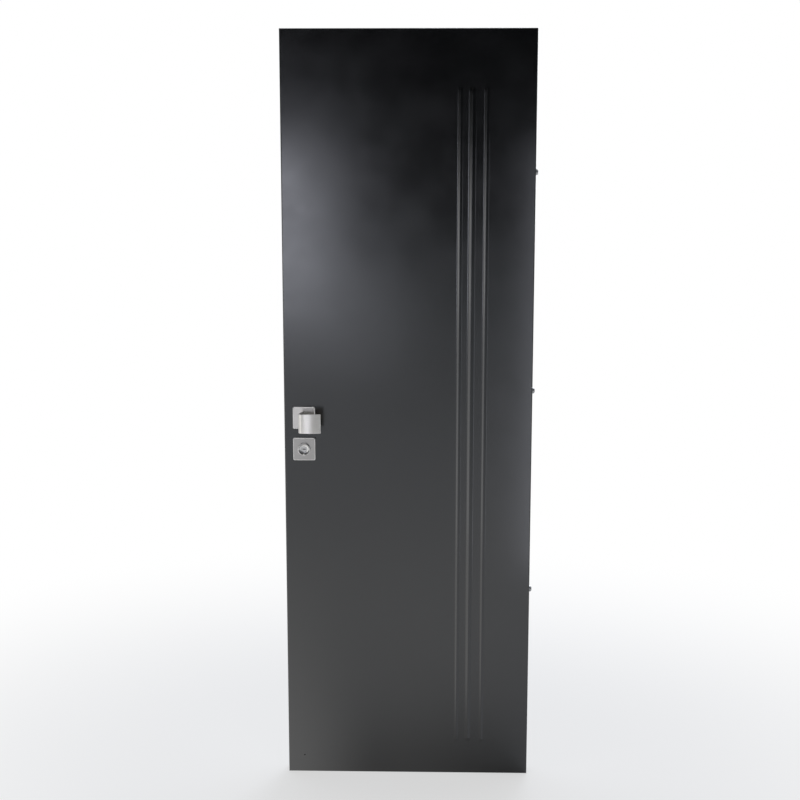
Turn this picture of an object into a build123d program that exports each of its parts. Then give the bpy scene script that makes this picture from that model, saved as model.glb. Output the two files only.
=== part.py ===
"""Flush steel security door: a leaf with pressed ribs, square pulls, a lock cylinder and lift-off hinges.

Every piece is drawn in leaf coordinates, in millimetres: X runs from the lock edge to the hinge edge,
Y from the outer face to the inner face, and Z up from the bottom edge. place() then shifts it so that
the origin lies on the outer face of the bottom hinge's frame plate.
"""
from build123d import *
import os

os.makedirs("parts", exist_ok=True)

# Leaf
LEAF_WIDTH = 672.0
LEAF_HEIGHT = 2050.0
LEAF_THICKNESS = 50.0
SHEET = 1.5
SKIN_BEND = 3.0
SKIN_RETURN = 14.0
CHANNEL_FLANGE = 32.0
CHANNEL_EASE = 0.5
COPE_GAP = 0.3

# Pressed ribs, measured from the hinge edge and from the bottom and top edges
RIB_MIDDLE_FROM_HINGE = 165.0
RIB_PITCH = 34.5
RIB_WIDTH_MIDDLE = 20.0
RIB_WIDTH_SIDE = 14.0
RIB_RISE_MIDDLE = 3.5
RIB_RISE_SIDE = 2.6
RIB_FOOT_RADIUS = 2.0
RIB_FROM_BOTTOM = 95.0
RIB_FROM_TOP = 150.0

# Drain hole near the lower lock corner
DRAIN_RADIUS = 1.75
DRAIN_FROM_LOCK = 45.0
DRAIN_HEIGHT = 50.0

# Dog pins in the hinge edge
DOG_PIN_LOWER = 536.0
DOG_PIN_MIDDLE = 1095.0
DOG_PIN_UPPER_FROM_TOP = 369.0
DOG_PIN_RADIUS = 8.0
DOG_PIN_PROUD = 7.5
DOG_PIN_NOSE_LONG = 4.0
DOG_PIN_NOSE_DEEP = 2.5
DOG_SHANK_RADIUS = 6.0
DOG_SHANK_LENGTH = 14.0
DOG_SHANK_CLEARANCE = 0.1

# Square rose and shell pull
FITTING_FROM_LOCK = 54.0
ROSE_HEIGHT = 1022.5
ROSE_SIZE = 60.0
ROSE_THICKNESS = 8.0
ROSE_CORNER = 3.5
ROSE_EDGE = 1.0
SHELL_DROP = 7.0
SHELL_TALL = 53.0
SHELL_SHEET = 4.0
SHELL_EDGE = 0.6
SHELL_FOOT_OFFSET = -2.0
SHELL_LEG_TOP_OFFSET = -11.2
SHELL_LEG_RISE = 37.0
SHELL_SHOULDER_OFFSET = -4.0
SHELL_SHOULDER_RISE = 48.0
SHELL_TIP_OFFSET = 49.5
SHELL_TIP_RISE = 46.5

# Square escutcheon, collar and lock cylinder
CYLINDER_BELOW_ROSE = 86.0
ESCUTCHEON_WIDTH = 60.0
ESCUTCHEON_TALL = 62.0
ESCUTCHEON_THICKNESS = 9.0
ESCUTCHEON_EDGE = 2.0
COLLAR_RADIUS = 17.0
COLLAR_CLEARANCE = 0.2
COLLAR_PROUD = 15.0
COLLAR_EDGE = 1.5
COLLAR_DISH_RADIUS = 15.0
COLLAR_DISH_DEEP = 5.0
COLLAR_MOUTH_RADIUS = 8.5
COLLAR_LIP = 1.5
CYLINDER_RADIUS = 11.0
CYLINDER_CLEARANCE = 0.2
PLUG_RADIUS = 7.5
PLUG_CLEARANCE = 0.05
PLUG_LENGTH = 30.0
PLUG_END_GAP = 0.3
KEYWAY_LONG = 9.0
KEYWAY_WIDE = 2.4
KEYWAY_DEEP = 10.0
KEYWAY_TILT = 8.0

# Lock faceplate and dead bolts in the lock edge
FACEPLATE_ABOVE_CYLINDER = 63.5
FACEPLATE_TALL = 290.0
FACEPLATE_THICKNESS = 2.5
FACEPLATE_SIDE_GAP = 0.5
BOLT_RADIUS = 9.0
BOLT_PITCH = 30.0
BOLT_COUNT = 3
BOLT_LENGTH = 38.0
BOLT_PROUD = 0.5
BOLT_CLEARANCE = 0.3

# Lift-off hinges on the inner face
HINGE_FROM_END = 200.0
KNUCKLE_RADIUS = 8.0
KNUCKLE_TALL = 55.0
KNUCKLE_GAP = 0.3
KNUCKLE_LEAF_GAP = 0.5
HINGE_EDGE_GAP = 0.5
HINGE_PLATE = 3.0
HINGE_LEAF_REACH = 60.0
HINGE_FRAME_REACH = 46.0
HINGE_CORNER = 6.0
HINGE_PIN_RADIUS = 5.0
HINGE_PIN_CLEARANCE = 0.05
HINGE_PIN_TALL = 40.0
HINGE_PIN_END_GAP = 3.0
FRAME_SCREW_RADIUS = 3.2
FRAME_SCREW_PITCH = 30.0
FRAME_SCREW_FROM_AXIS = 27.0

# Worked-out places
MID_THICKNESS = LEAF_THICKNESS / 2
CYLINDER_HEIGHT = ROSE_HEIGHT - CYLINDER_BELOW_ROSE
CYLINDER_END = -COLLAR_PROUD + COLLAR_DISH_DEEP + COLLAR_LIP
FACEPLATE_HEIGHT = CYLINDER_HEIGHT + FACEPLATE_ABOVE_CYLINDER
DOG_PIN_HEIGHTS = {
    "upper": LEAF_HEIGHT - DOG_PIN_UPPER_FROM_TOP,
    "middle": DOG_PIN_MIDDLE,
    "lower": DOG_PIN_LOWER,
}
HINGE_HEIGHTS = {
    "top": LEAF_HEIGHT - HINGE_FROM_END,
    "middle": LEAF_HEIGHT / 2,
    "bottom": HINGE_FROM_END,
}
HINGE_AXIS_X = LEAF_WIDTH + HINGE_EDGE_GAP + HINGE_PLATE - KNUCKLE_RADIUS
HINGE_AXIS_Y = LEAF_THICKNESS + KNUCKLE_LEAF_GAP + KNUCKLE_RADIUS
FRAME_FACE_X = LEAF_WIDTH + HINGE_EDGE_GAP + HINGE_PLATE
FRAME_SCREW_Y = HINGE_AXIS_Y + FRAME_SCREW_FROM_AXIS
FRAME_PLATE_MID = -(KNUCKLE_TALL + KNUCKLE_GAP / 2) / 2
MOUNT_POINT = (FRAME_FACE_X, FRAME_SCREW_Y, HINGE_HEIGHTS["bottom"] + FRAME_PLATE_MID)

RIB_SECTIONS = (
    (-RIB_PITCH, RIB_WIDTH_SIDE, RIB_RISE_SIDE),
    (0.0, RIB_WIDTH_MIDDLE, RIB_RISE_MIDDLE),
    (RIB_PITCH, RIB_WIDTH_SIDE, RIB_RISE_SIDE),
)


def place(shape, name):
    """Shift a piece to the mounting origin and write it."""
    x, y, z = MOUNT_POINT
    export_step(Pos(-x, -y, -z) * shape, f"parts/{name}.step")


def block(low, high):
    """A box between two corners."""
    size = [b - a for a, b in zip(low, high)]
    return Pos(*low) * Box(*size, align=(Align.MIN, Align.MIN, Align.MIN))


def rod_y(x, z, radius, y_low, y_high):
    """A round bar along Y."""
    bar = Cylinder(radius, y_high - y_low, align=(Align.CENTER, Align.CENTER, Align.MIN))
    return Pos(x, y_low, z) * Rot(-90, 0, 0) * bar


def rod_x(y, z, radius, x_low, x_high):
    """A round bar along X."""
    bar = Cylinder(radius, x_high - x_low, align=(Align.CENTER, Align.CENTER, Align.MIN))
    return Pos(x_low, y, z) * Rot(0, 90, 0) * bar


def rod_z(x, y, radius, z_low, z_high):
    """A round bar along Z."""
    return Pos(x, y, z_low) * Cylinder(radius, z_high - z_low, align=(Align.CENTER, Align.CENTER, Align.MIN))


def to_inside(shape):
    """The same piece on the inner face of the leaf."""
    return mirror(shape, about=Plane((0, MID_THICKNESS, 0), z_dir=(0, 1, 0)))


def rib_capsule(offset, width, rise, inset):
    """A round bar with ball ends whose cap stands out of the face as a rib with run-out ends."""
    radius = (width ** 2 / 4 + rise ** 2) / (2 * rise)
    x = LEAF_WIDTH - RIB_MIDDLE_FROM_HINGE + offset
    low = RIB_FROM_BOTTOM + width / 2
    high = LEAF_HEIGHT - RIB_FROM_TOP - width / 2
    bar = rod_z(x, radius - rise, radius - inset, low, high)
    for end in (low, high):
        bar += Pos(x, radius - rise, end) * Sphere(radius - inset)
    return bar


def rib_foot_edges(body, depth):
    """The edges where the ribs meet one flat face of the skin."""
    low = LEAF_WIDTH - RIB_MIDDLE_FROM_HINGE - RIB_PITCH - RIB_WIDTH_MIDDLE
    high = LEAF_WIDTH - RIB_MIDDLE_FROM_HINGE + RIB_PITCH + RIB_WIDTH_MIDDLE
    found = []
    for edge in body.edges():
        box = edge.bounding_box()
        flat = abs(box.min.Y - depth) < 1e-4 and abs(box.max.Y - depth) < 1e-4
        if flat and box.min.X > low and box.max.X < high:
            found.append(edge)
    return found


def skin():
    """A pan of folded sheet with three pressed ribs, open towards the middle of the leaf."""
    pan = block((0, 0, 0), (LEAF_WIDTH, SKIN_RETURN, LEAF_HEIGHT))
    pan = fillet(pan.faces().sort_by(Axis.Y)[0].edges(), SKIN_BEND)
    inside = block((SHEET, SHEET, SHEET), (LEAF_WIDTH - SHEET, SKIN_RETURN + SHEET, LEAF_HEIGHT - SHEET))
    inside = fillet(inside.faces().sort_by(Axis.Y)[0].edges(), SKIN_BEND - SHEET)
    front_half = block((0, -LEAF_THICKNESS, 0), (LEAF_WIDTH, SHEET, LEAF_HEIGHT))
    for section in RIB_SECTIONS:
        pan += rib_capsule(*section, 0.0) & front_half
    pan = fillet(rib_foot_edges(pan, 0.0), RIB_FOOT_RADIUS)
    pan -= inside
    for section in RIB_SECTIONS:
        pan -= rib_capsule(*section, SHEET) & front_half
    pan = fillet(rib_foot_edges(pan, SHEET), RIB_FOOT_RADIUS + SHEET)
    return pan - rod_y(FITTING_FROM_LOCK, CYLINDER_HEIGHT, CYLINDER_RADIUS + CYLINDER_CLEARANCE, -1, SKIN_RETURN)


def outer_skin():
    return skin() - rod_y(DRAIN_FROM_LOCK, DRAIN_HEIGHT, DRAIN_RADIUS, -1, SKIN_RETURN)


def inner_skin():
    return to_inside(skin())


def stile():
    """The lock-side channel, its web against the returns of both skins."""
    bend = SKIN_BEND - SHEET + CHANNEL_EASE
    low = (SHEET, SHEET, SKIN_BEND)
    high = (SHEET + CHANNEL_FLANGE, LEAF_THICKNESS - SHEET, LEAF_HEIGHT - SKIN_BEND)
    body = block(low, high)
    body = fillet(body.faces().sort_by(Axis.X)[0].edges().filter_by(Axis.Z), bend)
    hollow = block((2 * SHEET, 2 * SHEET, 0), (high[0] + 1, LEAF_THICKNESS - 2 * SHEET, LEAF_HEIGHT))
    hollow = fillet(hollow.faces().sort_by(Axis.X)[0].edges().filter_by(Axis.Z), bend - SHEET)
    return body - hollow


def lock_stile():
    body = stile()
    for height in bolt_heights():
        body -= rod_x(MID_THICKNESS, height, BOLT_RADIUS + BOLT_CLEARANCE, 0, 3 * SHEET)
    return body


def hinge_stile():
    body = mirror(stile(), about=Plane((LEAF_WIDTH / 2, 0, 0), z_dir=(1, 0, 0)))
    for height in DOG_PIN_HEIGHTS.values():
        hole = DOG_SHANK_RADIUS + DOG_SHANK_CLEARANCE
        body -= rod_x(MID_THICKNESS, height, hole, LEAF_WIDTH - 3 * SHEET, LEAF_WIDTH)
    return body


def bottom_rail():
    """The bottom channel, its flanges coped to stop short of the stiles."""
    bend = SKIN_BEND - SHEET + CHANNEL_EASE
    web_end = 2 * SHEET + COPE_GAP
    flange_end = SHEET + CHANNEL_FLANGE + COPE_GAP
    body = block((web_end, SHEET, SHEET), (LEAF_WIDTH - web_end, LEAF_THICKNESS - SHEET, SHEET + CHANNEL_FLANGE))
    body = fillet(body.faces().sort_by(Axis.Z)[0].edges().filter_by(Axis.X), bend)
    hollow = block((0, 2 * SHEET, 2 * SHEET), (LEAF_WIDTH, LEAF_THICKNESS - 2 * SHEET, 2 * CHANNEL_FLANGE))
    hollow = fillet(hollow.faces().sort_by(Axis.Z)[0].edges().filter_by(Axis.X), bend - SHEET)
    body -= hollow
    inner_side = LEAF_THICKNESS - 2 * SHEET - COPE_GAP
    coped = block((0, 2 * SHEET + COPE_GAP, 0), (flange_end, inner_side, 2 * CHANNEL_FLANGE))
    cope = block((0, 0, 0), (flange_end, LEAF_THICKNESS, 2 * CHANNEL_FLANGE)) - coped
    body -= cope
    return body - mirror(cope, about=Plane((LEAF_WIDTH / 2, 0, 0), z_dir=(1, 0, 0)))


def top_rail():
    return mirror(bottom_rail(), about=Plane((0, 0, LEAF_HEIGHT / 2), z_dir=(0, 0, 1)))


def bolt_heights():
    """Heights of the dead bolts, centred on the lock cylinder."""
    first = CYLINDER_HEIGHT - BOLT_PITCH * (BOLT_COUNT - 1) / 2
    return [first + BOLT_PITCH * step for step in range(BOLT_COUNT)]


def lock_faceplate():
    """The lock's face in the recess of the lock edge, with a round hole for each bolt."""
    half = MID_THICKNESS - SKIN_RETURN - FACEPLATE_SIDE_GAP
    low = (SHEET - FACEPLATE_THICKNESS, MID_THICKNESS - half, FACEPLATE_HEIGHT - FACEPLATE_TALL / 2)
    high = (SHEET, MID_THICKNESS + half, FACEPLATE_HEIGHT + FACEPLATE_TALL / 2)
    plate = block(low, high)
    plate = fillet(plate.edges().filter_by(Axis.X), half / 2)
    for height in bolt_heights():
        plate -= rod_x(MID_THICKNESS, height, BOLT_RADIUS + BOLT_CLEARANCE, low[0] - 1, high[0] + 1)
    return plate


def dead_bolts():
    """The round bolts, drawn back until their ends are almost level with the faceplate."""
    end = SHEET - FACEPLATE_THICKNESS - BOLT_PROUD
    bolts = []
    for height in bolt_heights():
        bolt = rod_x(MID_THICKNESS, height, BOLT_RADIUS, end, end + BOLT_LENGTH)
        bolts.append(chamfer(bolt.faces().sort_by(Axis.X)[0].edges(), BOLT_PROUD))
    return Compound(children=bolts)


def dog_pin(height):
    """A round-nosed pin on a shank through the web of the hinge stile."""
    seat = LEAF_WIDTH - SHEET
    head = rod_x(MID_THICKNESS, height, DOG_PIN_RADIUS, seat, LEAF_WIDTH + DOG_PIN_PROUD)
    nose = head.faces().sort_by(Axis.X)[-1]
    head = chamfer(nose.edges(), DOG_PIN_NOSE_LONG, DOG_PIN_NOSE_DEEP, reference=nose)
    return head + rod_x(MID_THICKNESS, height, DOG_SHANK_RADIUS, seat - DOG_SHANK_LENGTH, seat)


def rose():
    """The square plate that carries the pull."""
    half = ROSE_SIZE / 2
    low = (FITTING_FROM_LOCK - half, -ROSE_THICKNESS, ROSE_HEIGHT - half)
    high = (FITTING_FROM_LOCK + half, 0, ROSE_HEIGHT + half)
    plate = block(low, high)
    plate = fillet(plate.edges().filter_by(Axis.Y), ROSE_CORNER)
    return chamfer(plate.faces().sort_by(Axis.Y)[0].edges(), ROSE_EDGE)


def pull_shell():
    """The bent plate that the fingers reach behind: a leg on the rose, a round shoulder and a bowed front."""
    foot = Vector(SHELL_FOOT_OFFSET, -ROSE_THICKNESS)
    leg_top = Vector(SHELL_LEG_TOP_OFFSET, -ROSE_THICKNESS - SHELL_LEG_RISE)
    shoulder = Vector(SHELL_SHOULDER_OFFSET, -ROSE_THICKNESS - SHELL_SHOULDER_RISE)
    tip = Vector(SHELL_TIP_OFFSET, -ROSE_THICKNESS - SHELL_TIP_RISE)
    leg_way = (leg_top - foot).normalized()
    leg = Line(foot - leg_way * SHELL_SHEET, leg_top)
    bend = TangentArc(leg_top, shoulder, tangent=leg_way)
    front = TangentArc(shoulder, tip, tangent=bend % 1)
    outline = Wire([leg, bend, front]).offset_2d(SHELL_SHEET, kind=Kind.ARC, side=Side.LEFT, closed=True)
    shell = extrude(Face(outline), SHELL_TALL, dir=(0, 0, 1))
    shell = chamfer(shell.edges().group_by(Axis.Z)[0] + shell.edges().group_by(Axis.Z)[-1], SHELL_EDGE)
    under_foot = block((-ROSE_SIZE, -ROSE_THICKNESS, -1), (ROSE_SIZE, 0, SHELL_TALL + 1))
    base = ROSE_HEIGHT - SHELL_DROP - SHELL_TALL / 2
    return Pos(FITTING_FROM_LOCK, 0, base) * (shell - under_foot)


def escutcheon():
    """The square guard plate round the lock cylinder."""
    low = (FITTING_FROM_LOCK - ESCUTCHEON_WIDTH / 2, -ESCUTCHEON_THICKNESS, CYLINDER_HEIGHT - ESCUTCHEON_TALL / 2)
    high = (FITTING_FROM_LOCK + ESCUTCHEON_WIDTH / 2, 0, CYLINDER_HEIGHT + ESCUTCHEON_TALL / 2)
    plate = block(low, high)
    plate = fillet(plate.edges().filter_by(Axis.Y), ROSE_CORNER)
    plate = chamfer(plate.faces().sort_by(Axis.Y)[0].edges(), ESCUTCHEON_EDGE)
    hole = COLLAR_RADIUS + COLLAR_CLEARANCE
    return plate - rod_y(FITTING_FROM_LOCK, CYLINDER_HEIGHT, hole, -2 * ESCUTCHEON_THICKNESS, 1)


def cylinder_collar():
    """The dished ring round the end of the lock cylinder, seated in the escutcheon."""
    ring = rod_y(FITTING_FROM_LOCK, CYLINDER_HEIGHT, COLLAR_RADIUS, -COLLAR_PROUD, 0)
    ring = chamfer(ring.faces().sort_by(Axis.Y)[0].edges(), COLLAR_EDGE)
    dish = Cone(COLLAR_MOUTH_RADIUS, COLLAR_DISH_RADIUS, COLLAR_DISH_DEEP)
    ring -= Pos(FITTING_FROM_LOCK, -COLLAR_PROUD + COLLAR_DISH_DEEP / 2, CYLINDER_HEIGHT) * Rot(90, 0, 0) * dish
    ring -= rod_y(FITTING_FROM_LOCK, CYLINDER_HEIGHT, COLLAR_MOUTH_RADIUS, -COLLAR_PROUD, 0)
    hole = CYLINDER_RADIUS + CYLINDER_CLEARANCE
    return ring - rod_y(FITTING_FROM_LOCK, CYLINDER_HEIGHT, hole, CYLINDER_END, 1)


def keyway(face_y):
    """The key's slot, tilted a little from level, cut in from one end face."""
    slot = extrude(Plane.XZ * SlotOverall(KEYWAY_LONG, KEYWAY_WIDE), KEYWAY_DEEP, both=True)
    return Pos(FITTING_FROM_LOCK, face_y, CYLINDER_HEIGHT) * Rot(0, KEYWAY_TILT, 0) * slot


def lock_cylinder():
    """The barrel through the leaf, with the plug's bore in its outer end and a keyway in its inner end."""
    inner_end = LEAF_THICKNESS - CYLINDER_END
    barrel = rod_y(FITTING_FROM_LOCK, CYLINDER_HEIGHT, CYLINDER_RADIUS, CYLINDER_END, inner_end)
    bore = PLUG_RADIUS + PLUG_CLEARANCE
    barrel -= rod_y(FITTING_FROM_LOCK, CYLINDER_HEIGHT, bore, CYLINDER_END - 1, CYLINDER_END + PLUG_LENGTH)
    return barrel - keyway(inner_end)


def key_plug():
    """The part of the cylinder that the key turns."""
    plug_end = CYLINDER_END + PLUG_LENGTH - PLUG_END_GAP
    plug = rod_y(FITTING_FROM_LOCK, CYLINDER_HEIGHT, PLUG_RADIUS, CYLINDER_END, plug_end)
    return plug - keyway(CYLINDER_END)


def hinge_leaf_half(height):
    """The upper knuckle, on a plate on the inner face of the leaf, that lifts off the pin."""
    low = height + KNUCKLE_GAP / 2
    high = height + KNUCKLE_TALL
    plate = block(
        (LEAF_WIDTH - HINGE_LEAF_REACH, LEAF_THICKNESS, low),
        (HINGE_AXIS_X, LEAF_THICKNESS + HINGE_PLATE, high),
    )
    plate = fillet(plate.faces().sort_by(Axis.X)[0].edges().filter_by(Axis.Y), HINGE_CORNER)
    half = plate + rod_z(HINGE_AXIS_X, HINGE_AXIS_Y, KNUCKLE_RADIUS, low, high)
    bore = HINGE_PIN_RADIUS + HINGE_PIN_CLEARANCE
    return half - rod_z(HINGE_AXIS_X, HINGE_AXIS_Y, bore, low - 1, height + HINGE_PIN_TALL + HINGE_PIN_END_GAP)


def hinge_frame_half(height):
    """The lower knuckle with its pin, on a plate that is screwed to the reveal."""
    low = height - KNUCKLE_TALL
    high = height - KNUCKLE_GAP / 2
    plate = block(
        (LEAF_WIDTH + HINGE_EDGE_GAP, HINGE_AXIS_Y, low),
        (FRAME_FACE_X, HINGE_AXIS_Y + HINGE_FRAME_REACH, high),
    )
    plate = fillet(plate.faces().sort_by(Axis.Y)[-1].edges().filter_by(Axis.X), HINGE_CORNER)
    half = plate + rod_z(HINGE_AXIS_X, HINGE_AXIS_Y, KNUCKLE_RADIUS, low, high)
    half += rod_z(HINGE_AXIS_X, HINGE_AXIS_Y, HINGE_PIN_RADIUS, high, height + HINGE_PIN_TALL)
    for side in (-1, 1):
        screw_z = height + FRAME_PLATE_MID + side * FRAME_SCREW_PITCH / 2
        half -= rod_x(FRAME_SCREW_Y, screw_z, FRAME_SCREW_RADIUS, LEAF_WIDTH, FRAME_FACE_X + 1)
    return half


def main():
    place(outer_skin(), "outer_skin")
    place(inner_skin(), "inner_skin")
    place(lock_stile(), "lock_stile")
    place(hinge_stile(), "hinge_stile")
    place(top_rail(), "top_rail")
    place(bottom_rail(), "bottom_rail")
    place(lock_faceplate(), "lock_faceplate")
    place(dead_bolts(), "dead_bolts")
    for name, height in DOG_PIN_HEIGHTS.items():
        place(dog_pin(height), f"{name}_dog_pin")
    fittings = {
        "rose": rose(),
        "pull_shell": pull_shell(),
        "escutcheon": escutcheon(),
        "cylinder_collar": cylinder_collar(),
    }
    for name, piece in fittings.items():
        place(piece, f"outer_{name}")
        place(to_inside(piece), f"inner_{name}")
    place(lock_cylinder(), "lock_cylinder")
    place(key_plug(), "key_plug")
    for name, height in HINGE_HEIGHTS.items():
        place(hinge_leaf_half(height), f"{name}_hinge_leaf_half")
        place(hinge_frame_half(height), f"{name}_hinge_frame_half")


main()
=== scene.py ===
"""Looks of a flush steel security door: pressed skins, satin fittings, hinges, studio stage and camera."""
import math

import bmesh
import bpy
from bpy.props import FloatProperty, FloatVectorProperty, IntProperty, PointerProperty
from mathutils import Matrix, Vector


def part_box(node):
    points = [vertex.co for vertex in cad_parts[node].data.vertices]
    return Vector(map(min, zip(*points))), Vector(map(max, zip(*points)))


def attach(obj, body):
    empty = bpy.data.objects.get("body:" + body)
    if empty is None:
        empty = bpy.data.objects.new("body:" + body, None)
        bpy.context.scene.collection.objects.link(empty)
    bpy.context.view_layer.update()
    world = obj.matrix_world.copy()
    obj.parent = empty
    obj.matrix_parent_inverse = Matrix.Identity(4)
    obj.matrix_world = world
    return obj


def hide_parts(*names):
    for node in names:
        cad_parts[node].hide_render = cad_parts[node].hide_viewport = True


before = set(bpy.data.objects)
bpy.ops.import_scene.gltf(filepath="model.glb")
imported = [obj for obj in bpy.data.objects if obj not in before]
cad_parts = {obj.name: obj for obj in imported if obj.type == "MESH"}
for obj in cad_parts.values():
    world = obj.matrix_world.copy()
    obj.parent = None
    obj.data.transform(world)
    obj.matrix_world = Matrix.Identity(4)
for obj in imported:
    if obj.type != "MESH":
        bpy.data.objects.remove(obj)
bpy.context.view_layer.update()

bl_info = {
    "name": "Steel Security Door",
    "version": (1, 0, 0),
    "blender": (4, 5, 0),
    "location": "View3D > Sidebar > Door",
    "description": "Dresses a flush pressed-steel door leaf with its fittings, hinges and a plain studio",
    "category": "Object",
}

MM = 0.001

# Brushed metal: how close its streaks lie along X, Y and Z, and the ways in which a piece has only edges,
# where the colour is lightened as a painted highlight
LEVEL_GRAIN = (60, 60, 1500)
EVEN_GRAIN = (900, 900, 900)
PLATE_RIM = (1, 0, 1)
SHELL_RIM = (0, 0, 1)
NO_RIM = (0, 0, 0)
# Lighter colour painted along the edges of brushed metal as a highlight
PAINTED_EDGE_HIGHLIGHT = (0.97, 0.96, 0.94)

# How far a rib's foot reaches past its width
RIB_TOE = 0.7 * MM

# Bores, clearances and small roundings
KNUCKLE_GAP = 0.3 * MM
PIN_CLEARANCE = 0.05 * MM
PIN_GAP = 3 * MM
SCREW_HOLE = 3.2 * MM
SCREW_CLEARANCE = 0.2 * MM
SHANK_RADIUS = 6 * MM
GUARD_HOLE = 17.2 * MM
COLLAR_BROW = 0.4 * MM
COLLAR_LIP = 1.5 * MM
COLLAR_BORE = 11.2 * MM

# Edges that turn by more degrees than this stay sharp
FLAT_CREASE = 30
SCREW_CREASE = 35
COLLAR_CREASE = 40
PIN_CREASE = 50

# Soft boxes round the leaf: place from the foot of its outer face, size, power and colour
DAYLIGHT = (0.87, 0.89, 1.0)
WHITE = (1, 1, 1)
FRONT_LAMPS = {
    "left_window": ((-1.19, -5.0, 1.22), (1.14, 1.0), 11.2, DAYLIGHT),
    "low_window": ((-0.48, -5.0, 0.68), (0.6, 0.6), 0.8, DAYLIGHT),
    "left_wall": ((-1.9, -1.7, 0.82), (1.5, 1.74), 5.2, WHITE),
    "high_left": ((-1.6, -1.2, 1.3), (0.7, 0.5), 1.2, WHITE),
    "right_strip": ((0.51, -1.55, 0.95), (0.14, 1.6), 1.1, DAYLIGHT),
    "top_soft": ((-0.3, -0.5, 3.4), (1.5, 0.5), 5, WHITE),
}
BACK_LAMP = ((1.0, 4.0, 2.2), (2.0, 2.0), 90, DAYLIGHT)

# Floor and camera
FLOOR_HALF = 18
FLOOR_GAP = 1 * MM
SENSOR_WIDTH = 36

# Places read from the frame
SKIN_LOW, SKIN_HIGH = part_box("outer_skin")
ROSE_LOW, ROSE_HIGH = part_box("outer_rose")
INNER_ROSE_LOW, INNER_ROSE_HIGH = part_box("inner_rose")
SHELL_LOW, SHELL_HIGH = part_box("outer_pull_shell")
COLLAR_LOW, COLLAR_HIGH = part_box("outer_cylinder_collar")
LOCK_EDGE = SKIN_LOW.x
HINGE_EDGE = SKIN_HIGH.x
LEAF_BOTTOM = SKIN_LOW.z
LEAF_TOP = SKIN_HIGH.z
OUTER_FACE = ROSE_HIGH.y
INNER_FACE = INNER_ROSE_LOW.y
LEAF_MIDDLE = (OUTER_FACE + INNER_FACE) / 2
ROSE_CENTRE = (ROSE_LOW + ROSE_HIGH) / 2
COLLAR_CENTRE = (COLLAR_LOW + COLLAR_HIGH) / 2
LEAF_CENTRE = Vector(((LOCK_EDGE + HINGE_EDGE) / 2, LEAF_MIDDLE, (LEAF_BOTTOM + LEAF_TOP) / 2))

# The origin lies midway between the screws of the bottom hinge, so all the hinge screws have this depth
MOUNT_Y = 0.0

OUTER = -1
INNER = 1
FACE_OF = {OUTER: OUTER_FACE, INNER: INNER_FACE}
SIDE_WORD = {OUTER: "outer", INNER: "inner"}


class DoorLeafSettings(bpy.types.PropertyGroup):
    """Sizes and paint of the pressed leaf."""

    rib_from_hinge: FloatProperty(
        name="Middle Rib", description="Distance of the middle rib from the hinge edge",
        default=165 * MM, unit="LENGTH")
    rib_pitch: FloatProperty(
        name="Rib Pitch", description="Distance between neighbouring ribs",
        default=34.5 * MM, unit="LENGTH")
    rib_width_middle: FloatProperty(
        name="Middle Width", description="Width of the middle rib", default=20 * MM, unit="LENGTH")
    rib_width_side: FloatProperty(
        name="Side Width", description="Width of the two outer ribs", default=14 * MM, unit="LENGTH")
    rib_rise_middle: FloatProperty(
        name="Middle Rise", description="Height of the middle rib above the face",
        default=3.5 * MM, unit="LENGTH")
    rib_rise_side: FloatProperty(
        name="Side Rise", description="Height of the outer ribs above the face",
        default=2.6 * MM, unit="LENGTH")
    rib_crest: FloatProperty(
        name="Crest Radius", description="Radius of a rib's crest", default=2 * MM, unit="LENGTH")
    rib_foot: FloatProperty(
        name="Foot Radius", description="Radius where the middle rib runs into the face",
        default=12 * MM, unit="LENGTH")
    rib_shift: FloatProperty(
        name="Middle Shift", description="How far the middle rib stands towards the lock edge",
        default=3 * MM, unit="LENGTH")
    rib_from_bottom: FloatProperty(
        name="Rib Start", description="Height of the ribs' lower ends", default=95 * MM, unit="LENGTH")
    rib_from_top: FloatProperty(
        name="Rib End", description="Distance of the ribs' upper ends from the top",
        default=150 * MM, unit="LENGTH")
    sheet: FloatProperty(
        name="Sheet", description="Thickness of the steel sheet", default=1.5 * MM, unit="LENGTH")
    bend: FloatProperty(
        name="Bend", description="Outer radius of the folded edges", default=3 * MM, unit="LENGTH")
    fold: FloatProperty(
        name="Return", description="Depth of the folded edges", default=14 * MM, unit="LENGTH")
    wave: FloatProperty(
        name="Sheet Wave", description="Height of the faint waves in the sheet",
        default=0.12 * MM, unit="LENGTH")
    drain_radius: FloatProperty(
        name="Drain Radius", description="Radius of the drain hole", default=1.75 * MM, unit="LENGTH")
    drain_from_lock: FloatProperty(
        name="Drain Offset", description="Distance of the drain hole from the lock edge",
        default=45 * MM, unit="LENGTH")
    drain_height: FloatProperty(
        name="Drain Height", description="Height of the drain hole", default=50 * MM, unit="LENGTH")
    paint: FloatVectorProperty(
        name="Paint", description="Colour of the satin coat", subtype="COLOR", min=0, max=1,
        default=(0.0030, 0.0032, 0.0036))
    channel_paint: FloatVectorProperty(
        name="Channel Paint", description="Colour of the edge channels", subtype="COLOR", min=0, max=1,
        default=(0.006, 0.006, 0.0064))
    gloss: FloatProperty(
        name="Paint Roughness", description="Roughness of the satin coat", subtype="FACTOR",
        default=0.18, min=0, max=1)


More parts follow.
